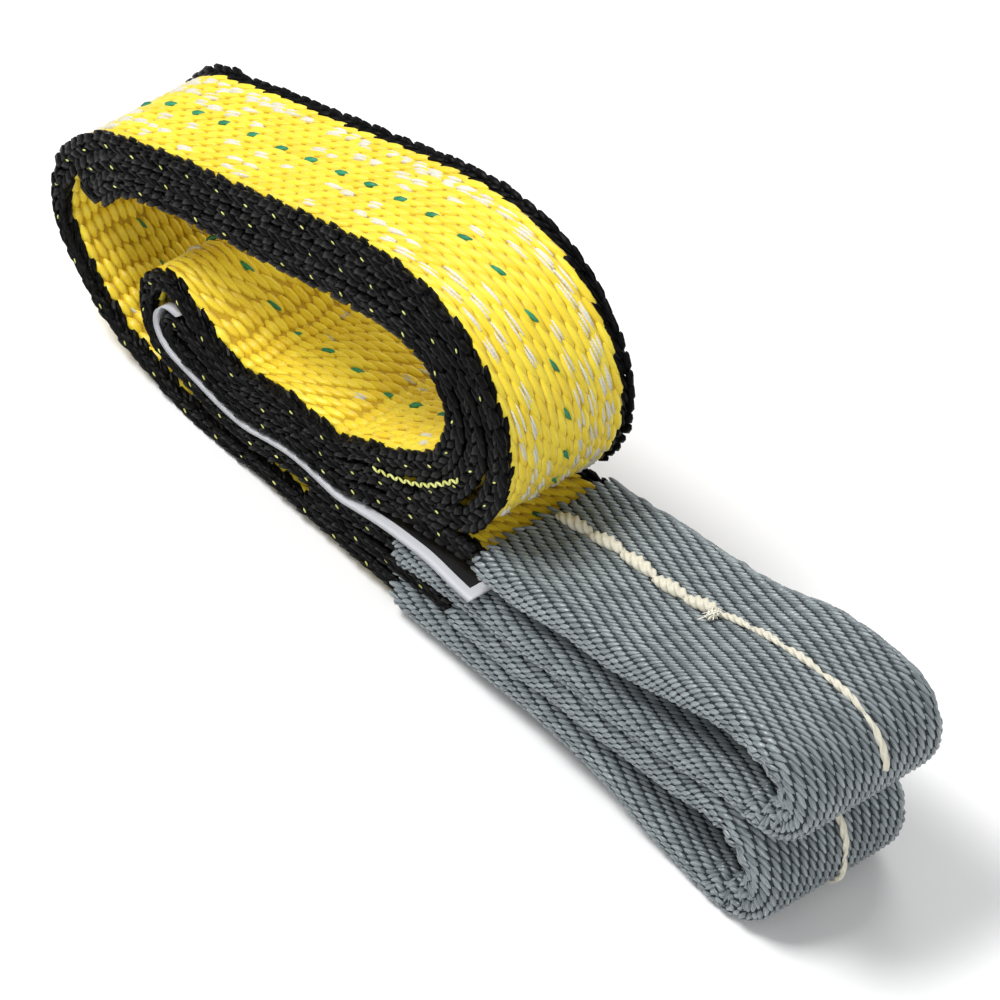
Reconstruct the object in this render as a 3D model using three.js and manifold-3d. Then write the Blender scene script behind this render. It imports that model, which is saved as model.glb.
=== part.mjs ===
// Lifting strap: a flat webbing sling with a sleeved eye at each end, folded into a hank.
// Millimetres, +Z up. The hank lies along X with its eyes at +X, the webbing's width is along Y,
// and the origin is on the floor under the middle of the hank.

import * as THREE from 'three';
import { mergeVertices } from 'three/addons/utils/BufferGeometryUtils.js';
import Module from 'manifold-3d';

const wasm = await Module();
wasm.setup();

// Driving dimensions
const webbingWidth = 25;
const webbingThickness = 3.2;
const plyRest = 0.3; // room between two plies that lie on each other
const sleeveWall = 0.6;
const sleeveSideWall = 1.2; // the cloth turns round the webbing's edge in a fuller fold
const sleeveClearance = 0.3; // between the webbing and the inside of its sleeve
const legRest = 0.45; // room between two sleeved legs that lie on each other
const upperSleeveTopEnd = 17; // where the upper eye's sleeve is cut off, on its top leg
const upperSleeveLowEnd = -4;
const lowerSleeveTopEnd = 9;
const lowerSleeveLowEnd = -3;
const tailEnd = -27; // end of the webbing behind the lower eye
const lapEnd = 1; // end of the webbing under the right-hand bend
const labelWidth = 27.4;
const labelThickness = 0.4;
const labelClearance = 0.45;
const labelLowEnd = 17.5;
const labelTopEnd = -59.2;
const threadWidth = 1.3;
const threadThickness = 0.8;
const threadOffset = 1.5; // the seam runs a little beyond the middle of the sleeve
const threadClearance = 0.3;
const leftPlyLooseness = 0.25; // extra room between the loop's plies at its left end
const rightPlyLooseness = 1.9;

const halfPly = webbingThickness / 2;
const sleeveWidth = webbingWidth + 2 * (sleeveClearance + sleeveSideWall);
const cover = sleeveClearance + sleeveWall; // what a sleeve adds to one face of the webbing
const halfLeg = halfPly + cover;
const sampleStep = 2.3;

// A smooth height or width over X, through a few chosen stations
function profile(stations) {
  const curve = new THREE.SplineCurve(stations.map(([x, y]) => new THREE.Vector2(x, y)));
  const samples = curve.getPoints(stations.length * 12);
  return (x) => {
    if (x <= samples[0].x) return samples[0].y;
    for (let i = 1; i < samples.length; i += 1) {
      if (x <= samples[i].x) {
        const t = (x - samples[i - 1].x) / (samples[i].x - samples[i - 1].x);
        return samples[i - 1].y + t * (samples[i].y - samples[i - 1].y);
      }
    }
    return samples[samples.length - 1].y;
  };
}

// 0 before start, 1 after end, smooth between
function ramp(x, start, end) {
  return THREE.MathUtils.smoothstep(x, start, end);
}

// What the sleeve adds to a leg at X, growing just before the sleeve's cut end
function coverAt(x, sleeveEnd) {
  return cover * ramp(x, sleeveEnd - 14, sleeveEnd - 3);
}

// Free height under, between and over the legs of the hank
const floorRise = profile([
  [-66, 1.3], [-61, -0.1], [-52, -0.1], [-41, 1.2], [-30, 1.8], [-15, 2.4], [-5, 2.8], [5, 3.2],
  [20, 4.5], [30, 5.3], [38, 5.6], [46, 4.8], [55, 3.0], [62, 1.7], [69, 0.85], [76, 0.85],
]);
const lowerEyeOpening = profile([
  [-30, 0], [20, 0], [35, 1.2], [46, 2.9], [55, 6.0], [65, 9.6], [72, 11.4],
]);
const legTwoLift = profile([
  [-64, 4.3], [-56, 3.2], [-42, 0.8], [-30, 0.2], [-20, 0], [20, 0], [35, 0.2], [60, 0.2], [75, 1.1], [82, 1.4],
]);
const upperEyeOpening = profile([
  [-60, 1.4], [-38, 1.8], [-26, 1.6], [-16, 2.2], [-8, 3.3], [1, 4.3], [16, 4.3], [28, 4.6], [46, 6.0],
  [55, 7.1], [65, 8.8], [75, 9.4], [82, 9.2],
]);
const foldOpening = profile([
  [-62, 1.9], [-57, 1.7], [-48, 0.1], [-32, 0], [-20, 0.25], [-12, 0.4], [-4, 0.35], [4, 0.4], [9, 1.0],
]);
const outerFoldOpening = profile([[-62, 1.5], [-56, 1.4], [-49, 0.2], [-40, 0]]);

// The loop's inner end lifts off to let the lapped end in under it
const lapLift = profile([[-26, 0], [-18, 0.25], [-12, 0.6], [-7, 1.2], [-4.8, 1.8], [-2.8, 2.8], [2.2, 4.9], [6.9, 7.4]]);

// How much taller a ply stands where it slopes
function slopeFactor(height, x) {
  return Math.hypot(1, (height(x + 1) - height(x - 1)) / 2);
}

// Centre heights of the stacked plies, each resting on the one below
function legFour(x) {
  return Math.max(halfPly + floorRise(x), x > 60 ? halfLeg + 0.09 : halfPly);
}

function legThree(x) {
  const covers = coverAt(x, lowerSleeveLowEnd) + coverAt(x, lowerSleeveTopEnd);
  const rest = THREE.MathUtils.lerp(plyRest, legRest, ramp(x, -12, 0));
  return legFour(x) + (webbingThickness + covers + rest) * slopeFactor(legFour, x) + lowerEyeOpening(x);
}

// Leg two rests on the tail, and beyond the tail's end on leg four
function legTwo(x) {
  const tailThickness = (webbingThickness + plyRest) * ramp(x, tailEnd - 18, tailEnd - 1);
  const below = x < tailEnd ? legFour(x) + tailThickness : legThree(x);
  const slope = x < tailEnd ? slopeFactor(legFour, x) : slopeFactor(legThree, x);
  const covers = coverAt(x, lowerSleeveTopEnd) + coverAt(x, upperSleeveLowEnd);
  const rest = THREE.MathUtils.lerp(plyRest, legRest, ramp(x, -12, 0));
  return below + (webbingThickness + covers + rest) * slope + legTwoLift(x);
}

function legOne(x) {
  const covers = coverAt(x, upperSleeveLowEnd) + coverAt(x, upperSleeveTopEnd);
  return legTwo(x) + (webbingThickness + covers) * slopeFactor(legTwo, x) + upperEyeOpening(x);
}

function floorPlyLow(x) {
  return legOne(x) + (webbingThickness + plyRest) * slopeFactor(legOne, x) + foldOpening(x);
}

function floorPlyTop(x) {
  const pitch = (webbingThickness + plyRest) * slopeFactor(floorPlyLow, x);
  return floorPlyLow(x) + pitch + outerFoldOpening(x) + lapLift(x);
}

function along(height, from, to, step = 6) {
  const count = Math.max(1, Math.round(Math.abs(to - from) / step));
  const points = [];
  for (let i = 0; i <= count; i += 1) {
    const x = from + ((to - from) * i) / count;
    points.push(new THREE.Vector2(x, height(x)));
  }
  return points;
}

// Centre line of the loop's outer ply: up the left bend, along the top, down the right bend
const loopOuter = [
  [-66, 3.1], [-75.2, 5.3], [-81.5, 8.8], [-86.6, 13.6], [-90.2, 19], [-90.7, 25.5], [-87.8, 32.6],
  [-82.9, 39.3], [-77.4, 44.1], [-69.2, 47.8], [-58.6, 52.1], [-47.4, 56], [-32.4, 61.6],
  [-21.5, 65.5], [-11.6, 68.5],
  [-2.5, 69.9], [5.5, 69], [11.5, 66.2], [16.2, 61.2], [19.1, 55.5], [19.9, 50], [19.3, 44.3],
  [17.2, 38.9], [13.6, 33.4],
].map(([x, z]) => new THREE.Vector2(x, z));

// The loop's inner plies run inside its outer one, by so many plies
const loopCurve = new THREE.SplineCurve(loopOuter);
const leftTurn = 0.256; // where the inner ply turns back, as a share of the loop's length
function loopPly(plies, share) {
  const point = loopCurve.getPointAt(share);
  const tangent = loopCurve.getTangentAt(share);
  const loose = THREE.MathUtils.lerp(leftPlyLooseness, rightPlyLooseness, ramp(share, 0.3, 0.85));
  const inset = plies * (webbingThickness + loose);
  return new THREE.Vector2(point.x + tangent.y * inset, point.y - tangent.x * inset);
}

function loopPlyPoints(plies, from, to, count) {
  return Array.from({ length: count + 1 }, (_, i) => loopPly(plies, from + ((to - from) * i) / count));
}

// A round turn between two heights, its tip towards -X or +X
function turn(xCentre, zFrom, zTo, reach, side, count = 4) {
  const centre = (zFrom + zTo) / 2;
  const radius = (zFrom - zTo) / 2;
  const points = [];
  for (let i = 1; i < count; i += 1) {
    const angle = (Math.PI * i) / count;
    points.push(new THREE.Vector2(xCentre + side * reach * Math.sin(angle), centre + radius * Math.cos(angle)));
  }
  return points;
}

const outerFoldX = -62;
const innerFoldX = -60;
const upperEyeX = 80;
const lowerEyeX = 72.5;
const outerFoldReach = 6.1;
const upperEyeReach = 8.6;
const lowerEyeReach = 9.3;

// The upper eye's end is pulled up to a blunt corner
function upperEyeBend() {
  const low = legTwo(upperEyeX);
  const high = legOne(upperEyeX);
  const height = high - low;
  return [
    new THREE.Vector2(upperEyeX + 0.62 * upperEyeReach, low + 0.12 * height),
    new THREE.Vector2(upperEyeX + 0.93 * upperEyeReach, low + 0.36 * height),
    new THREE.Vector2(upperEyeX + 0.99 * upperEyeReach, low + 0.62 * height),
    new THREE.Vector2(upperEyeX + 0.7 * upperEyeReach, low + 0.91 * height),
  ];
}

function lapHeight(x) {
  return floorPlyLow(x) + (webbingThickness + plyRest) * slopeFactor(floorPlyLow, x);
}

const turnBack = (loopPly(1, leftTurn).distanceTo(loopPly(2, leftTurn))) / 2;
const turnBackTip = loopPly(1.5, leftTurn).sub(loopCurve.getTangentAt(leftTurn).multiplyScalar(turnBack));

// The whole webbing in order, from the lapped end to the lower eye's tail
const webbingRoute = [
  new THREE.Vector2(lapEnd, lapHeight(lapEnd)),
  new THREE.Vector2(lapEnd + 3, lapHeight(lapEnd + 3) + 0.5),
  new THREE.Vector2(lapEnd + 8.5, lapHeight(lapEnd + 8.5) + 3.4),
  ...loopPlyPoints(1, 0.93, leftTurn, 24),
  turnBackTip,
  ...loopPlyPoints(2, leftTurn, 0.93, 24),
  ...along(floorPlyTop, 6, outerFoldX, 5),
  ...turn(outerFoldX, floorPlyTop(outerFoldX), legTwo(outerFoldX), outerFoldReach, -1, 5),
  ...along(legTwo, outerFoldX, upperEyeX),
  ...upperEyeBend(),
  ...along(legOne, upperEyeX, innerFoldX),
  ...turn(innerFoldX, legOne(innerFoldX), floorPlyLow(innerFoldX), 2.7, -1, 4),
  ...along(floorPlyLow, innerFoldX, 2),
  new THREE.Vector2(8.6, floorPlyLow(8.6) + 0.7),
  ...loopOuter.slice().reverse(),
  ...along(legFour, -59, lowerEyeX),
  ...turn(lowerEyeX, legFour(lowerEyeX), legThree(lowerEyeX), lowerEyeReach, 1, 5),
  ...along(legThree, lowerEyeX, tailEnd),
];

function smooth(points, step = sampleStep) {
  const curve = new THREE.CatmullRomCurve3(points.map((p) => new THREE.Vector3(p.x, 0, p.y)), false, 'centripetal');
  curve.arcLengthDivisions = 4000;
  const count = Math.round(curve.getLength() / step);
  return curve.getSpacedPoints(count).map((p) => new THREE.Vector2(p.x, p.z));
}

function normalAt(points, i) {
  const before = points[Math.max(0, i - 1)];
  const after = points[Math.min(points.length - 1, i + 1)];
  const along2 = after.clone().sub(before).normalize();
  return new THREE.Vector2(-along2.y, along2.x);
}

function offsetPoints(points, distance, start = 0, end = points.length - 1) {
  const side = [];
  for (let i = start; i <= end; i += 1) {
    side.push(points[i].clone().addScaledVector(normalAt(points, i), distance));
  }
  return side;
}

// A flat band that follows part of a line in the X-Z plane, between two distances from it
function band(points, inner, outer, width, start, end, yCentre = 0) {
  const near = offsetPoints(points, inner, start, end);
  const far = offsetPoints(points, outer, start, end).reverse();
  const shape = new THREE.Shape([...near, ...far]);
  const geometry = new THREE.ExtrudeGeometry(shape, { depth: width, bevelEnabled: false, steps: 1 });
  geometry.rotateX(Math.PI / 2);
  geometry.translate(0, yCentre + width / 2, 0);
  return geometry;
}

function toSolid(geometry) {
  const bare = geometry.clone();
  bare.deleteAttribute('normal');
  bare.deleteAttribute('uv');
  const merged = mergeVertices(bare, 1e-4);
  const mesh = new wasm.Mesh({
    numProp: 3,
    vertProperties: new Float32Array(merged.attributes.position.array),
    triVerts: new Uint32Array(merged.index.array),
  });
  return new wasm.Manifold(mesh);
}

function toGeometry(solid) {
  const mesh = solid.getMesh();
  const geometry = new THREE.BufferGeometry();
  geometry.setAttribute('position', new THREE.BufferAttribute(new Float32Array(mesh.vertProperties), 3));
  geometry.setIndex(new THREE.BufferAttribute(new Uint32Array(mesh.triVerts), 1));
  geometry.computeVertexNormals();
  return geometry;
}

const floorLine = (points, height) => points.map((p) => new THREE.Vector2(p.x, Math.max(p.y, height)));
const webbingPoints = floorLine(smooth(webbingRoute), halfPly);

// The webbing's sample that lies nearest to one of its legs at X
function sampleAt(leg, x) {
  const target = new THREE.Vector2(x, leg(x));
  const distances = webbingPoints.map((p) => p.distanceTo(target));
  return distances.indexOf(Math.min(...distances));
}

// A woven tube round one eye: a band with the webbing's room cut through its whole length
function sleeve([start, end]) {
  const roomHalf = halfPly + sleeveClearance;
  const roomWidth = webbingWidth + 2 * sleeveClearance;
  const outside = toSolid(band(webbingPoints, -halfLeg, halfLeg, sleeveWidth, start, end));
  const inside = toSolid(band(webbingPoints, -roomHalf, roomHalf, roomWidth, start - 1, end + 1));
  return toGeometry(outside.subtract(inside));
}

const upperRange = [sampleAt(legTwo, upperSleeveLowEnd), sampleAt(legOne, upperSleeveTopEnd)];
const lowerRange = [sampleAt(legFour, lowerSleeveLowEnd), sampleAt(legThree, lowerSleeveTopEnd)];

// The label hangs just under the upper eye's top ply, turns with the tight fold and ends above it
function labelUnder(x) {
  const gap = halfPly + labelClearance + labelThickness / 2 + coverAt(x, upperSleeveTopEnd);
  const droop = 1.7 * ramp(x, -26, 4);
  return legOne(x) - gap - droop;
}

function labelOver(x) {
  return floorPlyLow(x) + halfPly + labelClearance + labelThickness / 2;
}

const labelFoldReach = 2.9 + halfPly + labelClearance + labelThickness / 2;
const labelRoute = [
  ...along(labelUnder, labelLowEnd, innerFoldX),
  ...turn(innerFoldX, labelUnder(innerFoldX), labelOver(innerFoldX), labelFoldReach, -1, 6),
  ...along(labelOver, innerFoldX, labelTopEnd, 1),
];

// The seam's thread lies along the outside of a sleeve
function seamThread([start, end], fromShare, toShare) {
  const from = start + Math.round(fromShare * (end - start));
  const to = start + Math.round(toShare * (end - start));
  const low = halfLeg + threadClearance;
  return band(webbingPoints, -low - threadThickness, -low, threadWidth, from, to, threadOffset);
}

const sleeveMaterial = () => new THREE.MeshStandardMaterial({ color: 0x7b8990, roughness: 0.75, metalness: 0 });
const threadMaterial = () => new THREE.MeshStandardMaterial({ color: 0xe9e4d2, roughness: 0.8, metalness: 0 });
const webbingMaterial = new THREE.MeshStandardMaterial({ color: 0xe8cc22, roughness: 0.6, metalness: 0 });
const labelMaterial = new THREE.MeshStandardMaterial({ color: 0xd9dadc, roughness: 0.5, metalness: 0 });

function piece(name, geometry, material) {
  const mesh = new THREE.Mesh(geometry, material);
  mesh.name = name;
  return mesh;
}

const labelPoints = smooth(labelRoute, 2.5);
const webbing = band(webbingPoints, -halfPly, halfPly, webbingWidth);
const label = band(labelPoints, -labelThickness / 2, labelThickness / 2, labelWidth);

const strap = new THREE.Group();
strap.add(piece('webbing', webbing, webbingMaterial));
strap.add(piece('sleeve_upper', sleeve(upperRange), sleeveMaterial()));
strap.add(piece('sleeve_lower', sleeve(lowerRange), sleeveMaterial()));
strap.add(piece('label_strip', label, labelMaterial));
strap.add(piece('seam_thread_upper', seamThread(upperRange, 0.5, 0.975), threadMaterial()));
strap.add(piece('seam_thread_lower', seamThread(lowerRange, 0.48, 0.56), threadMaterial()));

// The origin stays under the middle of the hank whatever the sizes are
const box = new THREE.Box3().setFromObject(strap);
strap.position.x = -(box.min.x + box.max.x) / 2;

export default strap;
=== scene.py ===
import math

import bmesh
import bpy
import numpy as np
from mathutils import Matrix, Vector


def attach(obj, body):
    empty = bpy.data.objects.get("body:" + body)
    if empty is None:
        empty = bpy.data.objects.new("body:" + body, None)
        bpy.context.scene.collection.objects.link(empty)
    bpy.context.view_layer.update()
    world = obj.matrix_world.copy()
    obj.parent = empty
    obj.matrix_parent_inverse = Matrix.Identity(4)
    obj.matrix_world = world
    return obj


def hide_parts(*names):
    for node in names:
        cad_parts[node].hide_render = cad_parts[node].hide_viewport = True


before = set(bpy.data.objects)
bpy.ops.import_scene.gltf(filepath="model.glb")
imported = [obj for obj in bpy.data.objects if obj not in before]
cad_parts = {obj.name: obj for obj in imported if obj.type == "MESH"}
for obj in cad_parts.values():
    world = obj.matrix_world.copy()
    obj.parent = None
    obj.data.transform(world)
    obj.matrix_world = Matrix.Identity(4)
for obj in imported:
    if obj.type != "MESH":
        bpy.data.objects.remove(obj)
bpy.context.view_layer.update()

mm = 0.001
scene = bpy.context.scene
rng = np.random.default_rng(7)
print("frame loaded")


# Routes, measured from the CAD bands
def outlineOf(node):
    # the loop of points round the near side of a flat CAD band, in millimetres
    bm = bmesh.new()
    bm.from_mesh(node.data)
    bmesh.ops.remove_doubles(bm, verts=bm.verts, dist=2e-6)
    nearY = min(v.co.y for v in bm.verts)
    nearFaces = {f for f in bm.faces if all(abs(v.co.y - nearY) < 2e-5 for v in f.verts)}
    rim = [e for e in bm.edges if sum(f in nearFaces for f in e.link_faces) == 1]
    rimSet = set(rim)
    edge = rim[0]
    first = edge.verts[0]
    vert = edge.verts[1]
    loop = [first.co.copy()]
    while vert != first:
        loop.append(vert.co.copy())
        edge = next(e for e in vert.link_edges if e in rimSet and e != edge)
        vert = edge.other_vert(vert)
    bm.free()
    return np.array([(p.x / mm, p.z / mm) for p in loop])


def middleLine(loop):
    # opposite points of the outline are one thickness apart all the way along
    n = len(loop) // 2
    best = None
    for k in range(len(loop)):
        turned = np.roll(loop, -k, axis=0)
        gap = np.linalg.norm(turned[:n] - turned[::-1][:n], axis=1)
        spread = gap.max() - gap.min()
        if best is None or spread < best[0]:
            best = (spread, k, gap.mean())
    turned = np.roll(loop, -best[1], axis=0)
    middle = (turned[:n] + turned[::-1][:n]) / 2
    if middle[0][1] < middle[-1][1]:
        middle = middle[::-1]
    return middle, best[2]


class Route:
    def __init__(self, points, step=0.5):
        # a smooth line through the points, sampled evenly, with its normal and bend
        pts = np.vstack([2 * points[0] - points[1], points, 2 * points[-1] - points[-2]])
        fine = []
        for i in range(1, len(pts) - 2):
            p0, p1, p2, p3 = pts[i - 1:i + 3]
            for t in np.arange(0, 1, 0.125):
                fine.append(0.5 * (2 * p1 + (p2 - p0) * t + (2 * p0 - 5 * p1 + 4 * p2 - p3) * t * t
                                   + (3 * p1 - p0 - 3 * p2 + p3) * t ** 3))
        fine.append(pts[-2])
        fine = np.array(fine)
        run = np.concatenate([[0], np.cumsum(np.linalg.norm(np.diff(fine, axis=0), axis=1))])
        self.length = run[-1]
        self.s = np.linspace(0, run[-1], int(run[-1] / step) + 1)
        self.x = np.interp(self.s, run, fine[:, 0])
        self.z = np.interp(self.s, run, fine[:, 1])
        kernel = np.ones(7) / 7
        tx = np.convolve(np.pad(np.gradient(self.x), 3, mode="edge"), kernel, "valid")
        tz = np.convolve(np.pad(np.gradient(self.z), 3, mode="edge"), kernel, "valid")
        size = np.hypot(tx, tz)
        self.tx, self.tz = tx / size, tz / size
        angle = np.unwrap(np.arctan2(self.tz, self.tx))
        bend = np.gradient(angle) / (self.s[1] - self.s[0])
        self.bend = np.convolve(np.pad(bend, 6, mode="edge"), np.ones(13) / 13, "valid")

    def place(self, s, v, h):
        # s along the route, v across it, h out from it on its left-hand side: metres
        x = np.interp(s, self.s, self.x)
        z = np.interp(s, self.s, self.z)
        tx = np.interp(s, self.s, self.tx)
        tz = np.interp(s, self.s, self.tz)
        over = np.maximum(s - self.length, 0) + np.minimum(s, 0)
        x, z = x + tx * over, z + tz * over
        return np.stack([x - tz * h, v, z + tx * h], axis=-1) * mm

    def nearest(self, x, z):
        return self.s[np.argmin((self.x - x) ** 2 + (self.z - z) ** 2)]

    def bendAt(self, s):
        return np.interp(s, self.s, self.bend)


webbingLine, plyThickness = middleLine(outlineOf(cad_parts["webbing"]))
strapRoute = Route(webbingLine)
labelLine, _ = middleLine(outlineOf(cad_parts["label_strip"]))
labelRoute = Route(labelLine, 0.3)
upperLine, legThickness = middleLine(outlineOf(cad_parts["sleeve_upper"]))
lowerLine, _ = middleLine(outlineOf(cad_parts["sleeve_lower"]))
print("strap length mm", round(strapRoute.length, 1), "ply", round(plyThickness, 2),
      "label", round(labelRoute.length, 1), "leg", round(legThickness, 2))


def rangeOn(route, line):
    # where a sleeve starts and ends along the strap
    a = route.nearest(*line[0])
    b = route.nearest(*line[-1])
    return (min(a, b), max(a, b))


upperRange = rangeOn(strapRoute, upperLine)
lowerRange = rangeOn(strapRoute, lowerLine)


# Mesh helpers
def newPiece(name, bm, material, node=None):
    mesh = bpy.data.meshes.new(name)
    bm.to_mesh(mesh)
    bm.free()
    piece = bpy.data.objects.new(name, mesh)
    scene.collection.objects.link(piece)
    mesh.materials.append(material)
    mesh.shade_smooth()
    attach(piece, "root")
    if node:
        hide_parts(*node)
    return piece


def wrapGrid(around, along, shape, capped=True):
    # a flat grid bent to a tube by shape(u, t), with u round it and t along it, both 0 to 1
    bm = bmesh.new()
    bmesh.ops.create_grid(bm, x_segments=around, y_segments=along, size=0.5)
    bm.verts.ensure_lookup_table()
    flat = np.array([(v.co.x + 0.5, v.co.y + 0.5) for v in bm.verts])
    uvLayer = bm.loops.layers.uv.new("weave")
    place, weave = shape(flat[:, 0], flat[:, 1])
    for face in bm.faces:
        for loop in face.loops:
            loop[uvLayer].uv = weave[loop.vert.index]
    for v, p in zip(bm.verts, place):
        v.co = p
    bmesh.ops.remove_doubles(bm, verts=bm.verts, dist=1e-6)
    if capped:
        bmesh.ops.holes_fill(bm, edges=[e for e in bm.edges if e.is_boundary])
    bmesh.ops.recalc_face_normals(bm, faces=bm.faces)
    return bm


def roundSection(u, halfWide, halfThick, corner):
    # a rounded oblong, walked evenly round its edge; gives across, out and distance walked
    straightW = 2 * (halfWide - corner)
    straightT = 2 * (halfThick - corner)
    arc = math.pi * corner / 2
    total = 2 * (straightW + straightT) + 4 * arc
    d = (u % 1.0) * total
    v = np.zeros_like(d)
    h = np.zeros_like(d)
    legs = [straightW, arc, straightT, arc, straightW, arc, straightT, arc]
    starts = np.concatenate([[0], np.cumsum(legs)])
    cw, ct = halfWide - corner, halfThick - corner
    for k in range(8):
        m = (d >= starts[k] - 1e-9) & (d <= starts[k + 1] + 1e-9)
        f = (d[m] - starts[k]) / max(legs[k], 1e-9)
        a = f * math.pi / 2
        if k == 0:
            v[m], h[m] = -cw + 2 * cw * f, halfThick
        elif k == 1:
            v[m], h[m] = cw + corner * np.sin(a), ct + corner * np.cos(a)
        elif k == 2:
            v[m], h[m] = halfWide, ct - 2 * ct * f
        elif k == 3:
            v[m], h[m] = cw + corner * np.cos(a), -ct - corner * np.sin(a)
        elif k == 4:
            v[m], h[m] = cw - 2 * cw * f, -halfThick
        elif k == 5:
            v[m], h[m] = -cw - corner * np.sin(a), -ct - corner * np.cos(a)
        elif k == 6:
            v[m], h[m] = -halfWide, -ct + 2 * ct * f
        else:
            v[m], h[m] = -cw - corner * np.cos(a), ct + corner * np.sin(a)
    return v, h, u * total, total


# Materials
def principled(name, roughness, specular=0.5, sheen=0.0):
    material = bpy.data.materials.new(name)
    material.use_nodes = True
    tree = material.node_tree
    shader = tree.nodes["Principled BSDF"]
    shader.inputs["Roughness"].default_value = roughness
    shader.inputs["Specular IOR Level"].default_value = specular
    shader.inputs["Sheen Weight"].default_value = sheen
    return material, tree, shader


def node(tree, kind, **values):
    made = tree.nodes.new(kind)
    for key, value in values.items():
        if hasattr(made, key):
            setattr(made, key, value)
        else:
            made.inputs[key].default_value = value
    return made


def mathNode(tree, operation, a, b=None, third=None):
    made = tree.nodes.new("ShaderNodeMath")
    made.operation = operation
    for i, value in enumerate((a, b, third)):
        if value is None:
            continue
        if isinstance(value, (int, float)):
            made.inputs[i].default_value = value
        else:
            tree.links.new(value, made.inputs[i])
    return made.outputs[0]


def mixColour(tree, factor, a, b):
    made = tree.nodes.new("ShaderNodeMix")
    made.data_type = "RGBA"
    for socket, value in ((made.inputs[0], factor), (made.inputs[6], a), (made.inputs[7], b)):
        if isinstance(value, (int, float)):
            socket.default_value = value
        elif isinstance(value, tuple):
            socket.default_value = (*value, 1)
        else:
            tree.links.new(value, socket)
    return made.outputs[2]


def bumped(tree, shader, height, distance, strength=1.0):
    bump = tree.nodes.new("ShaderNodeBump")
    bump.inputs["Strength"].default_value = strength
    bump.inputs["Distance"].default_value = distance
    tree.links.new(height, bump.inputs["Height"])
    tree.links.new(bump.outputs["Normal"], shader.inputs["Normal"])


def yarnMaterial(name, light, dark, roughness, filaments=7.0, twist=0.0, specular=0.5, sheen=0.0, endHighlight=0.0):
    # uv runs along (x) and round (y) each float; tone is a number kept for each float; one end of each float
    # can be given a painted highlight
    material, tree, shader = principled(name, roughness, specular, sheen)
    uv = tree.nodes.new("ShaderNodeUVMap")
    uv.uv_map = "weave"
    tone = tree.nodes.new("ShaderNodeAttribute")
    tone.attribute_name = "tone"
    split = tree.nodes.new("ShaderNodeSeparateXYZ")
    tree.links.new(uv.outputs[0], split.inputs[0])
    coords = node(tree, "ShaderNodeTexCoord")
    grain = node(tree, "ShaderNodeTexNoise", Scale=900.0, Detail=3.0)
    tree.links.new(coords.outputs["Object"], grain.inputs["Vector"])
    lane = mathNode(tree, "ADD", mathNode(tree, "MULTIPLY", split.outputs[1], filaments * 2 * math.pi),
                    mathNode(tree, "MULTIPLY", split.outputs[0], twist * 2 * math.pi))
    wobble = mathNode(tree, "MULTIPLY", grain.outputs["Fac"], 2.4)
    ridge = mathNode(tree, "SINE", mathNode(tree, "ADD", lane, wobble))
    height = mathNode(tree, "ADD", mathNode(tree, "MULTIPLY", ridge, 0.5),
                      mathNode(tree, "MULTIPLY", grain.outputs["Fac"], 0.8))
    # the filament ridges also paint shade into the colour: lighter on their crests, darker in the grooves
    # between them
    shade = mathNode(tree, "ADD", mathNode(tree, "MULTIPLY", ridge, 0.16), tone.outputs["Fac"])
    # painted highlight: each float is made lighter towards one end and darker towards the other
    if endHighlight:
        shade = mathNode(tree, "ADD", shade, mathNode(tree, "MULTIPLY", split.outputs[0], endHighlight))
    colour = mixColour(tree, shade, dark, light)
    tree.links.new(colour, shader.inputs["Base Color"])
    bumped(tree, shader, height, 0.00006, 0.5)
    return material


# How each yarn looks
yarnLooks = {
    "yellowYarn": {"light": (0.90, 0.735, 0.04), "dark": (0.76, 0.53, 0.01), "roughness": 0.42,
                   "sheen": 0.15},
    "blackYarn": {"light": (0.0065, 0.0065, 0.007), "dark": (0.0012, 0.0012, 0.0015), "roughness": 0.36,
                  "filaments": 9.0, "specular": 0.06},
    "greenYarn": {"light": (0.02, 0.30, 0.15), "dark": (0.006, 0.13, 0.065), "roughness": 0.45},
    "whiteYarn": {"light": (0.74, 0.72, 0.64), "dark": (0.56, 0.54, 0.42), "roughness": 0.55,
                  "filaments": 2.0, "twist": 4.0},
    "dotYarn": {"light": (0.80, 0.82, 0.28), "dark": (0.48, 0.50, 0.10), "roughness": 0.5,
                "filaments": 2.0, "twist": 2.0},
    # the sleeve's floats carry a painted highlight at one end
    "sleeveYarn": {"light": (0.31, 0.355, 0.37), "dark": (0.085, 0.105, 0.118), "roughness": 0.34,
                   "filaments": 5.0, "specular": 0.6, "sheen": 0.05, "endHighlight": -0.34},
    "threadCotton": {"light": (0.84, 0.82, 0.72), "dark": (0.62, 0.59, 0.48), "roughness": 0.6,
                     "filaments": 3.0, "twist": 1.5},
}
yarn = {name: yarnMaterial(name, **look) for name, look in yarnLooks.items()}
print("yarns made")


# Floats: one lens-shaped mesh for each stretch of yarn that shows
def floatShape(around, along):
    # its poles are at its two ends, and its length is along x
    bm = bmesh.new()
    bmesh.ops.create_uvsphere(bm, u_segments=around, v_segments=along, radius=1.0)
    uvLayer = bm.loops.layers.uv.new("weave")
    for v in bm.verts:
        v.co = (v.co.z, v.co.x, v.co.y)
    for face in bm.faces:
        for loop in face.loops:
            co = loop.vert.co
            loop[uvLayer].uv = (co.x, math.atan2(co.y, co.z) / (2 * math.pi))
    mesh = bpy.data.meshes.new("float")
    bm.to_mesh(mesh)
    bm.free()
    return mesh


def addFloat(rows, s, across, out, long, wide, high, slant, facing, tone, onSide=0):
    rows.append({"s": s, "across": across, "out": out, "long": long, "wide": wide, "high": high,
                 "slant": slant, "facing": facing, "tone": tone, "onSide": onSide})


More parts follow.
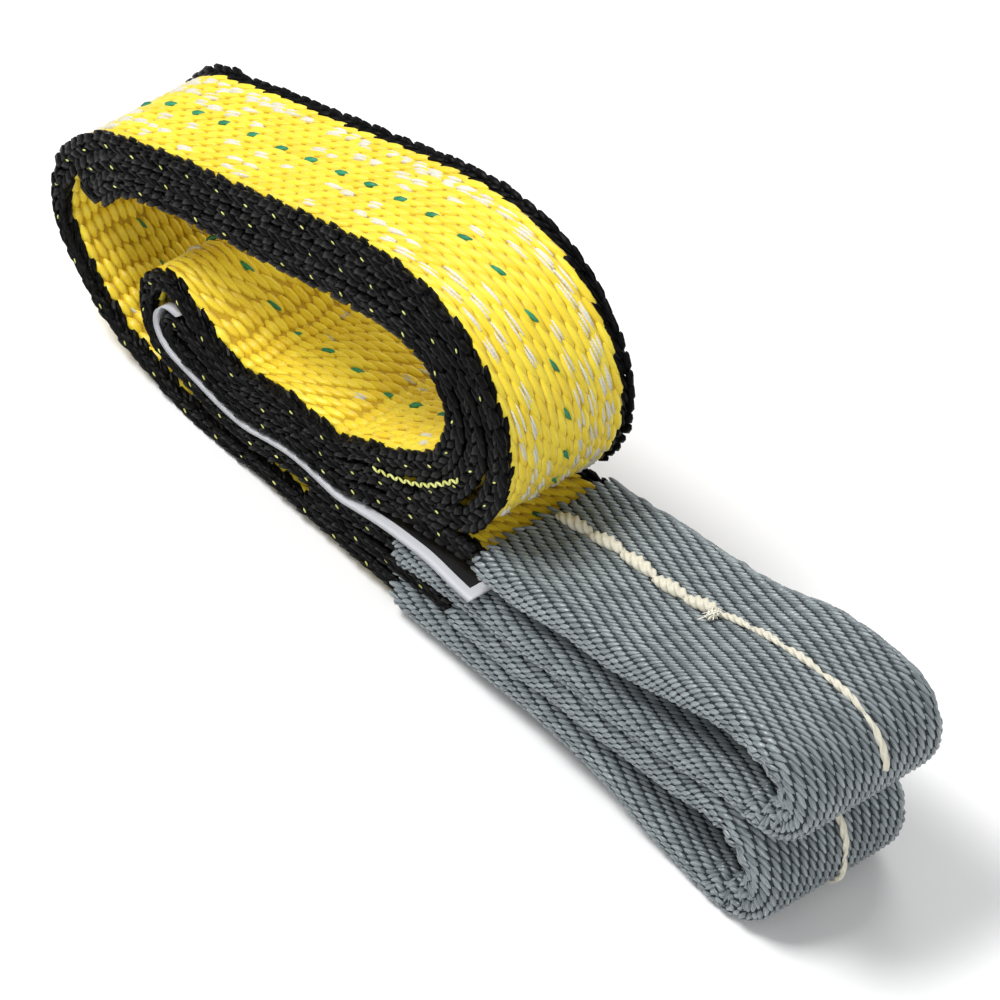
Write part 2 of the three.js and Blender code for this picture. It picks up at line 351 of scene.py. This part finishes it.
def layFloats(name, floats, lens, material, surface=None):
    # every float is one copy of the lens, moved to its place on the strap or on another surface
    size = len(lens.vertices)
    verts = np.array([v.co for v in lens.vertices])
    f = {k: np.array([row[k] for row in floats])[:, None] for k in floats[0]}
    a, b, up = verts[:, 0][None], verts[:, 1][None], verts[:, 2][None]
    along = a * f["long"]
    across = b * f["wide"] * (1 - 0.35 * a * a)  # narrower towards its ends
    s = f["s"] + along * np.cos(f["slant"]) - across * np.sin(f["slant"])
    side = f["across"] + along * np.sin(f["slant"]) + across * np.cos(f["slant"])
    out = f["out"] + f["facing"] * up * f["high"]
    onSide = f["onSide"] > 0
    if surface:
        place = surface(s, side, out).reshape(-1, 3)
    else:
        place = strapRoute.place(s, np.where(onSide, out, side), np.where(onSide, side, out)).reshape(-1, 3)
    bm = bmesh.new()
    for _ in floats:
        bm.from_mesh(lens)
    toneLayer = bm.verts.layers.float.new("tone")
    for i, (vert, p) in enumerate(zip(bm.verts, place)):
        vert.co = p
        vert[toneLayer] = floats[i // size]["tone"]
    bmesh.ops.recalc_face_normals(bm, faces=bm.faces)
    piece = newPiece(name, bm, material)
    print(name, len(floats), "floats", len(piece.data.polygons), "faces")
    return piece


# Webbing: a plain core with every float of its yarns laid on it, in millimetres
webbing = {
    "coreWide": 24.2,
    "coreThick": 2.5,
    "coreCorner": 0.9,
    "coreEnd": 0.4,
    "columns": 14,
    "yellowWide": 21.0,
    "floatPitch": 3.6,
    "floatLength": 5.4,
    "floatHigh": 0.74,
    "slant": 0.27,
    "edgeRows": 3,
    "edgePitch": 2.7,
    "edgeOut": 12.0,  # from the strap's middle to the yarns on its edge
    "edgeLong": 1.95,
    "edgeWide": 0.70,
    "edgeHigh": 0.62,
    "scallopPitch": 7.7,
    "dotPitch": 7.7,
    "dotOut": 12.52,
    "dotShare": 0.85,
    "greenPitch": 7.7,
    "bindingStep": 1.15,
    "bindingLine": [(-9.1, 26.7), (-2.1, 29.6), (4.4, 33.6), (11.9, 40.5)],  # x and z along the bend
    "bindingOut": 12.8,
    "underSleeve": 6.0,  # how far the yarns go on into a sleeve
    "greenSize": (1.5, 0.44, 0.76),  # half the length, width and height of a float
    "borderSize": (2.0, 0.66, 0.62),
    "dotSize": (0.46, 0.2, 0.14),
    "bindingSize": (0.72, 0.28, 0.22),
    "greenSlant": 0.36,
    "borderSlant": 0.3,
    "bindingSlant": 0.7,
    "borderPitch": 0.88,
}
whiteRows = {-8.3: 0.30, -6.1: 0.50, -3.2: 0.34, 2.6: 0.40, 4.9: 0.34, 7.2: 0.62, 8.2: 0.90}
columnPitch = webbing["yellowWide"] / webbing["columns"]
faceOut = webbing["coreThick"] / 2


def coreShape(u, t):
    s = t * (strapRoute.length - 2 * webbing["coreEnd"]) + webbing["coreEnd"]
    v, h, d, _ = roundSection(u, webbing["coreWide"] / 2, faceOut, webbing["coreCorner"])
    return strapRoute.place(s, v, h), np.stack([s, d], axis=-1)


def coreCloth():
    # yellow between the black edges, seen only between the yarns; its yellow is painted darker than the
    # yarns' as shade between the floats
    material, tree, shader = principled("webbingCore", 0.7)
    coords = node(tree, "ShaderNodeTexCoord")
    split = tree.nodes.new("ShaderNodeSeparateXYZ")
    tree.links.new(coords.outputs["Object"], split.inputs[0])
    across = mathNode(tree, "ABSOLUTE", split.outputs[1])
    onEdge = mathNode(tree, "GREATER_THAN", across, (webbing["yellowWide"] / 2 - 0.1) * mm)
    grain = node(tree, "ShaderNodeTexNoise", Scale=1200.0, Detail=4.0)
    tree.links.new(coords.outputs["Object"], grain.inputs["Vector"])
    yellow = mixColour(tree, grain.outputs["Fac"], (0.38, 0.22, 0.004), (0.62, 0.42, 0.01))
    colour = mixColour(tree, onEdge, yellow, (0.008, 0.008, 0.009))
    tree.links.new(colour, shader.inputs["Base Color"])
    bumped(tree, shader, grain.outputs["Fac"], 0.0002, 0.6)
    return material


def stations(first, short, step):
    # places along the strap from first to short of its end, where no sleeve hides them
    hidden = webbing["underSleeve"]
    s = first
    while s < strapRoute.length - short:
        if not any(a + hidden < s < b - hidden for a, b in (upperRange, lowerRange)):
            yield s
        s += step


def looseness(s):
    # where the loop's plies stand a little apart, their edges swell to meet
    x = np.interp(s, strapRoute.s, strapRoute.x)
    z = np.interp(s, strapRoute.s, strapRoute.z)
    if x < -72 and z > 31:
        return 1.2
    if z < 23 or (z < 31 and x < -8):
        return 0.0
    return float(np.clip((x + 75) / 60, 0, 1))


def yellowYarns(rows, face):
    for column in range(webbing["columns"]):
        v0 = -webbing["yellowWide"] / 2 + (column + 0.5) * columnPitch
        onBorder = column in (0, webbing["columns"] - 1)
        for s in stations(1.5, 1.5, webbing["floatPitch"]):
            bend = strapRoute.bendAt(s) * -face  # above zero on the outside of a bend
            crowd = min(1.0, max(0.0, -bend - 0.012) * 40)
            stretch = min(1.0, max(0.0, bend - 0.01) * 14)
            # inside a bend the yarns line up and stand proud, outside it they are pulled flat
            stagger = (column % 2) * webbing["floatPitch"] / 2 * (1 - crowd)
            stagger += 0.5 * crowd * math.sin(column * 0.9 + s * 0.05)
            long = webbing["floatLength"] / 2 * (1 + 0.3 * stretch) * (1 - 0.22 * crowd)
            wide = columnPitch * (0.56 + 0.06 * crowd - 0.04 * stretch)
            high = webbing["floatHigh"] * (1 + 0.65 * crowd) * (1 - 0.25 * stretch)
            slant = webbing["slant"] * (1 - 0.75 * crowd) * (1 - 0.7 * stretch)
            swell = 0.35 * math.sin(2 * math.pi * s / webbing["scallopPitch"]) if onBorder else 0
            bulge = max(0, swell)
            addFloat(rows, s + stagger + rng.uniform(-0.2, 0.2), v0 + math.copysign(bulge, v0),
                     face * (faceOut - 0.12), long, wide * (1 + 0.5 * bulge), high * rng.uniform(0.88, 1.1),
                     face * slant + rng.uniform(-0.05, 0.05), face, 0.6 + rng.uniform(-0.3, 0.3))


def greenMarks(rows, face):
    for s in stations(3.1, 3, webbing["greenPitch"]):
        addFloat(rows, s + rng.uniform(-0.3, 0.3), 0.2 + rng.uniform(-0.15, 0.15), face * (faceOut + 0.14),
                 *webbing["greenSize"], face * webbing["greenSlant"], face,
                 0.55 + rng.uniform(-0.25, 0.25))


def whiteStitches(rows, face):
    # broken rows of paired strands between the yellow columns, thickest on the loop's outer face
    outerFace = (strapRoute.nearest(12.0, 30.0), strapRoute.nearest(-91.0, 24.0))
    hidden = webbing["underSleeve"]
    for v0, share in whiteRows.items():
        s = 2.0 + abs(v0)
        while s < strapRoute.length - 6:
            bend = strapRoute.bendAt(s) * -face
            stretch = min(1.0, max(0.0, bend - 0.008) * 22)
            onOuter = face < 0 and outerFace[0] < s < outerFace[1]
            long = 1.6 + 0.7 * stretch + rng.uniform(-0.3, 0.5)
            wanted = share if onOuter else 0.10
            covered = any(a + hidden < s < b - hidden for a, b in (upperRange, lowerRange))
            if rng.random() < wanted + 0.25 * stretch * onOuter and not covered:
                lean = face * 0.24 * (1 - 0.5 * stretch)
                for strand in (-1, 1):
                    addFloat(rows, s + long + strand * rng.uniform(0, 0.6),
                             v0 + rng.uniform(-0.25, 0.25) + strand * 0.25, face * (faceOut + 0.06), long,
                             0.22 + 0.05 * (share > 0.8), 0.7, lean + rng.uniform(-0.04, 0.04), face,
                             0.7 + rng.uniform(-0.2, 0.25))
            s += 2 * long + 0.4


def faceBorder(rows, side, face):
    # two black columns on each face, outside the yellow ones
    long, wide, high = webbing["borderSize"]
    for column in range(2):
        for s in stations(1.2 + column * 1.3, 1.2, webbing["edgePitch"]):
            wave = 0.30 * math.sin(2 * math.pi * s / webbing["scallopPitch"]) * (1 - column)
            v0 = side * (webbing["yellowWide"] / 2 + 0.32 + column * webbing["borderPitch"] + wave)
            addFloat(rows, s + rng.uniform(-0.25, 0.25), v0, face * (1.22 - 0.12 * column), long, wide,
                     high - 0.1 * column, side * face * webbing["borderSlant"], face,
                     0.4 + rng.uniform(-0.35, 0.4))


def edgeYarns(rows, side):
    for row in range(webbing["edgeRows"]):
        for s in stations(1.2 + (row % 2) * webbing["edgePitch"] / 2, 1.2, webbing["edgePitch"]):
            spread = 1 + 0.4 * looseness(s)
            h0 = (row - (webbing["edgeRows"] - 1) / 2) * spread
            addFloat(rows, s + rng.uniform(-0.35, 0.35), h0 + rng.uniform(-0.12, 0.12),
                     side * (webbing["edgeOut"] + rng.uniform(-0.1, 0.15)),
                     webbing["edgeLong"] * rng.uniform(0.85, 1.15), webbing["edgeWide"] * spread,
                     webbing["edgeHigh"],
                     side * rng.uniform(0.15, 0.5) * (1 if row % 2 else -1), side,
                     0.4 + rng.uniform(-0.4, 0.45), 1)


def edgeDots(rows, side):
    for s in stations(4.0, 3, webbing["dotPitch"]):
        if rng.random() < webbing["dotShare"]:
            addFloat(rows, s + rng.uniform(-0.5, 0.5), 0.3 * rng.uniform(-1, 1), side * webbing["dotOut"],
                     *webbing["dotSize"], side * rng.uniform(0.2, 0.9), side,
                     0.5 + rng.uniform(-0.3, 0.3), 1)


newPiece("webbing_core", wrapGrid(28, 640, coreShape), coreCloth(), node=["webbing"])
yellowOuter, yellowInner, green, white, black, dots = [], [], [], [], [], []
for face, rows in ((1, yellowOuter), (-1, yellowInner)):
    yellowYarns(rows, face)
    greenMarks(green, face)
for face in (1, -1):
    whiteStitches(white, face)
for side in (1, -1):
    for face in (1, -1):
        faceBorder(black, side, face)
    edgeYarns(black, side)
    edgeDots(dots, side)

layFloats("webbing_face_a", yellowOuter, floatShape(5, 5), yarn["yellowYarn"])
layFloats("webbing_face_b", yellowInner, floatShape(5, 5), yarn["yellowYarn"])
layFloats("webbing_green_marks", green, floatShape(4, 4), yarn["greenYarn"])
layFloats("webbing_white_stitches", white, floatShape(5, 4), yarn["whiteYarn"])
layFloats("webbing_edges", black, floatShape(5, 4), yarn["blackYarn"])
layFloats("webbing_edge_stitches", dots, floatShape(5, 4), yarn["dotYarn"])

# A run of the edge's binding loops shows under the right-hand bend
bindingRoute = Route(np.array(webbing["bindingLine"]))


def onNearEdge(s, side, out):
    return bindingRoute.place(s, out, side)


loops = []
for k in range(int(bindingRoute.length / webbing["bindingStep"])):
    s = (k + 0.5) * webbing["bindingStep"] + rng.uniform(-0.1, 0.1)
    lean = webbing["bindingSlant"] * (1 if k % 2 else -1)
    addFloat(loops, s, 0, -webbing["bindingOut"], *webbing["bindingSize"], lean, -1,
             0.6 + rng.uniform(-0.3, 0.3))
layFloats("webbing_binding_loops", loops, floatShape(5, 4), yarn["dotYarn"], surface=onNearEdge)


# Sleeves: a ground cloth painted dark as the shade in the gaps between floats, with the floats of its twill
# laid on it, in millimetres
sleeves = {
    "halfWide": 13.7,
    "halfThick": 2.62,
    "corner": 2.3,
    "wall": 0.55,
    "end": 0.4,
    "ribStep": (1.12, -0.32),  # from one float to the next along a rib: along the sleeve, and round it
    "rowStep": (-0.24, 1.75),  # from one rib to the next
    "floatLong": 1.28,
    "floatWide": 0.46,
    "floatHigh": 0.38,
    "floatSlant": 0.38,
    "creases": 0.8,
    "frayLength": 0.9,
}
sleeveSection = (sleeves["halfWide"], sleeves["halfThick"], sleeves["corner"])
sleeveAround = float(roundSection(np.zeros(1), *sleeveSection)[3])


def groundCloth():
    material, tree, shader = principled("sleeveGround", 0.8, 0.2)
    coords = node(tree, "ShaderNodeTexCoord")
    grain = node(tree, "ShaderNodeTexNoise", Scale=1500.0, Detail=2.0)
    tree.links.new(coords.outputs["Object"], grain.inputs["Vector"])
    # painted shade: the ground is near black so the gaps between the floats read as shadow
    colour = mixColour(tree, grain.outputs["Fac"], (0.010, 0.013, 0.015), (0.045, 0.055, 0.060))
    tree.links.new(colour, shader.inputs["Base Color"])
    bumped(tree, shader, grain.outputs["Fac"], 0.0002, 0.6)
    return material


sleeveGround = groundCloth()


def sleeveSurface(s, d, seed, swell):
    # a point on the sleeve, s along the strap and d round the sleeve: how far across, how far out
    bend = strapRoute.bendAt(s)
    near = np.clip(np.abs(bend) * 14, 0, 1)
    v, h, _, _ = roundSection(d / sleeveAround, *sleeveSection)
    h = h * (1 + swell * np.sin(s * 0.11 + seed) * 0.4 + 0.10 * near)
    edge = np.clip((np.abs(v) - 9) / 5, 0, 1)
    inner = np.clip(np.sign(h) * np.sign(bend), 0, 1)
    # creases where the cloth is bunched inside a bend, and a slight ripple everywhere
    fold = np.sin(s * 1.35 + v * 0.35 + seed) * sleeves["creases"] * near * inner
    ripple = 0.10 * np.sin(s * 0.35 + seed * 2) * edge + 0.08 * np.sin(s * 0.8 + v * 0.2)
    h = h + np.sign(h) * (fold * 0.8 + ripple * 0.5)
    pull = 0.10 * np.sin(s * 0.33 + seed) + 0.35 * near * np.abs(np.sin(s * 0.9 + seed))
    return v + np.sign(v) * edge * pull, h


def makeSleeve(name, nodeName, span, seed, swell):
    start, end = span
    length = end - start

    def at(s, d):
        v, h = sleeveSurface(s, d, seed, swell)
        return strapRoute.place(s, v, h)

    def onCloth(s, d, out):
        # the cloth's own normal comes from its neighbours
        normal = np.cross(at(s, d + 0.2) - at(s, d - 0.2), at(s + 0.2, d) - at(s - 0.2, d))
        normal /= np.linalg.norm(normal, axis=-1, keepdims=True)
        return at(s, d) - normal * out[..., None] * mm

    def shape(u, t):
        s = start + sleeves["end"] + t * (length - 2 * sleeves["end"])
        return at(s, u * sleeveAround), np.stack([s, u * sleeveAround], axis=-1)

    bm = wrapGrid(84, int(length), shape, capped=False)
    piece = newPiece(name, bm, sleeveGround, node=[nodeName])
    wall = piece.modifiers.new("wall", "SOLIDIFY")
    wall.thickness = sleeves["wall"] * mm
    wall.offset = -1

    # whole ribs go round the sleeve, so the twill closes on itself
    rib, row = sleeves["ribStep"], sleeves["rowStep"]
    slope = rib[1] / rib[0]
    rise = row[1] - slope * row[0]
    rows = round(sleeveAround / rise)
    floats = []
    for i in range(rows):
        for s in np.arange(start + (i * row[0]) % rib[0] - 0.2, end + 0.2, rib[0]):
            d = i * sleeveAround / rows + slope * (s - start)
            cut = min(s - start, end - s) < sleeves["frayLength"]
            addFloat(floats, s + rng.uniform(-0.05, 0.05), d + rng.uniform(-0.04, 0.04), 0.04,
                     sleeves["floatLong"] * (1 + cut * rng.uniform(-0.3, 0.35)), sleeves["floatWide"],
                     sleeves["floatHigh"] * rng.uniform(0.9, 1.1),
                     sleeves["floatSlant"] + 0.5 * cut * rng.uniform(-1, 1), 1, 0.5 + rng.uniform(-0.2, 0.2))
    layFloats(name + "_twill", floats, floatShape(5, 4), yarn["sleeveYarn"], surface=onCloth)


makeSleeve("sleeve_upper_cloth", "sleeve_upper", upperRange, 0.6, 0.08)
makeSleeve("sleeve_lower_cloth", "sleeve_lower", lowerRange, 2.1, 0.05)


# Label, in millimetres
label = {
    "wide": 27.4,
    "thick": 0.34,
    "border": 2.0,
    "ribPitch": 0.35,
    "slip": 3.1,  # how far its low end has slid out sideways
    "slipLength": 45,
    "tuck": 0.8,  # and how far its other end lies in
}


def labelFromEnd(s):
    # measured from the end that lies by the sleeves
    return s if labelRoute.x[0] > labelRoute.x[-1] else labelRoute.length - s


def labelShape(u, t):
    s = t * labelRoute.length
    v, h, _, _ = roundSection(u, label["wide"] / 2, label["thick"] / 2, label["thick"] / 5)
    slid = v + label["tuck"] - label["slip"] * np.clip(1 - labelFromEnd(s) / label["slipLength"], 0, 1) ** 1.3
    return labelRoute.place(s, slid, h), np.stack([labelFromEnd(s), v], axis=-1)


def labelCloth():
    # a ribbed silver border round a bare black field
    material, tree, shader = principled("labelCloth", 0.38, 0.5)
    uv = tree.nodes.new("ShaderNodeUVMap")
    uv.uv_map = "weave"
    split = tree.nodes.new("ShaderNodeSeparateXYZ")
    tree.links.new(uv.outputs[0], split.inputs[0])
    fromMiddle = mathNode(tree, "ABSOLUTE", split.outputs[1])
    insideSides = mathNode(tree, "LESS_THAN", fromMiddle, label["wide"] / 2 - label["border"])
    insideEnd = mathNode(tree, "GREATER_THAN", split.outputs[0], label["border"])
    field = mathNode(tree, "MULTIPLY", insideSides, insideEnd)
    turn = mathNode(tree, "MULTIPLY", split.outputs[0], 2 * math.pi / label["ribPitch"])
    ribs = mathNode(tree, "SINE", turn)
    # painted shade of the ribs: their crests are lighter and their troughs darker
    lightness = mathNode(tree, "MULTIPLY_ADD", ribs, 0.5, 0.5)
    silver = mixColour(tree, lightness, (0.50, 0.51, 0.54), (0.62, 0.63, 0.66))
    colour = mixColour(tree, field, silver, (0.012, 0.012, 0.014))
    tree.links.new(colour, shader.inputs["Base Color"])
    bumped(tree, shader, ribs, 0.00003, 0.4)
    return material


labelMesh = wrapGrid(40, 260, labelShape)
labelPiece = newPiece("label_cloth", labelMesh, labelCloth(), node=["label_strip"])

# Seam threads, in millimetres: a thick cord for the first stitches, then a thin one
seam = {
    "stitch": 7.7,
    "thick": 1.0,
    "thin": 0.55,
    "twist": 5.2,
    "lift": 2.95,  # the sleeve's face, from the middle of the webbing
    "upperFrom": 98,  # where each seam starts and ends, from the start of its sleeve
    "upperShort": 1.6,
    "upperLine": 1.5,
    "thickLength": 40,
    "lowerFrom": 84,
    "lowerTo": 106,
    "lowerLine": 1.2,
    "tuftFibres": 44,
    "tuftPlace": 38.5,  # from the thick end
}


def makeThread(name, nodeName, s0, s1, vCentre, thickLength, seed):
    # s1 is the end by the sleeve's cut edge, where the thick cord starts
    length = s1 - s0

    def shape(u, t):
        s = s0 + t * length
        fromCut = s1 - s
        thick = np.clip((thickLength - fromCut) / 3, 0, 1)
        phase = (fromCut / seam["stitch"]) % 1.0
        hump = np.sin(math.pi * phase) ** 0.6
        radius = (seam["thin"] + (seam["thick"] - seam["thin"]) * thick) * (0.34 + 0.66 * hump)
        a = 2 * math.pi * u
        turn = 2 * math.pi * s / seam["twist"]
        lobed = radius * (1 + 0.24 * np.cos(3 * (a - turn)))  # three strands, twisted
        wander = 0.3 * np.sin(s * 0.21 + seed) + 0.42 * thick * (phase - 0.5)
        v = vCentre + wander + lobed * np.cos(a)
        h = -(seam["lift"] + 0.3 * radius + 0.35 * hump) + 0.85 * lobed * np.sin(a)
        return strapRoute.place(s, v, h), np.stack([t * length * 0.4, u], axis=-1)

    bm = wrapGrid(24, int(length / 0.24), shape)
    piece = newPiece(name, bm, yarn["threadCotton"], node=[nodeName])
    print(name, len(piece.data.polygons), "faces")


seamStart = upperRange[1] - seam["upperShort"]
makeThread("seam_thread_upper_twist", "seam_thread_upper", upperRange[0] + seam["upperFrom"], seamStart,
           seam["upperLine"], seam["thickLength"], 0.4)
makeThread("seam_thread_lower_twist", "seam_thread_lower", lowerRange[0] + seam["lowerFrom"],
           lowerRange[0] + seam["lowerTo"], seam["lowerLine"], 0, 1.4)

# Frayed fibres where the thick cord ends
tuft = []
for _ in range(seam["tuftFibres"]):
    spread = rng.uniform(-1, 1)
    addFloat(tuft, seamStart - seam["tuftPlace"] + rng.uniform(-0.7, 0.7),
             seam["upperLine"] - 0.4 - abs(rng.normal(0, 0.7)), -(seam["lift"] + rng.uniform(0.5, 1.2)),
             rng.uniform(0.7, 1.5), 0.11, 0.11, 1.2 + spread, -1, rng.uniform(0.8, 1.2))
layFloats("seam_tuft", tuft, floatShape(4, 4), yarn["threadCotton"])


# Floor, light and camera
view = {
    "target": (5.63, 0.0, 23.44),
    "azimuth": 51.2,
    "elevation": 45.1,
    "distance": 1100.0,
    "lens": 261.8,
}
bm = bmesh.new()
bmesh.ops.create_grid(bm, x_segments=8, y_segments=8, size=3.0)
floorMesh = bpy.data.meshes.new("floor")
bm.to_mesh(floorMesh)
bm.free()
floor = bpy.data.objects.new("floor", floorMesh)
scene.collection.objects.link(floor)
floorMaterial, tree, shader = principled("floorPaint", 0.8, 0.2)
shader.inputs["Base Color"].default_value = (0.9, 0.9, 0.9, 1)
floorMesh.materials.append(floorMaterial)

world = bpy.data.worlds.new("studio")
scene.world = world
world.use_nodes = True
world.node_tree.nodes["Background"].inputs[0].default_value = (1, 1, 1, 1)
world.node_tree.nodes["Background"].inputs[1].default_value = 0.42


lights = {
    "keyLight": {"place": (-0.25, -0.30, 0.9), "size": 0.35, "power": 8.0},
    "fillLight": {"place": (0.9, -0.3, 0.5), "size": 0.5, "power": 3.0},
    "backLight": {"place": (-0.4, 0.6, 0.7), "size": 0.5, "power": 3.0},
}


def areaLight(name, place, size, power):
    # every light faces the middle of the hank
    data = bpy.data.lights.new(name, "AREA")
    data.size = size
    data.energy = power
    light = bpy.data.objects.new(name, data)
    light.location = place
    light.rotation_euler = (Vector((0, 0, 0.03)) - Vector(place)).to_track_quat("-Z", "Y").to_euler()
    scene.collection.objects.link(light)


for name, light in lights.items():
    areaLight(name, **light)

cameraData = bpy.data.cameras.new("camera")
camera = bpy.data.objects.new("camera", cameraData)
scene.collection.objects.link(camera)
az, el = math.radians(view["azimuth"]), math.radians(view["elevation"])
target = Vector(view["target"]) * mm
away = Vector((math.sin(az) * math.cos(el), -math.cos(az) * math.cos(el), math.sin(el)))
camera.location = target + away * view["distance"] * mm
camera.rotation_euler = (-away).to_track_quat("-Z", "Y").to_euler()
cameraData.lens = view["lens"]
cameraData.sensor_width = 36.0
scene.camera = camera
scene.view_settings.view_transform = "Standard"
print("stage made")
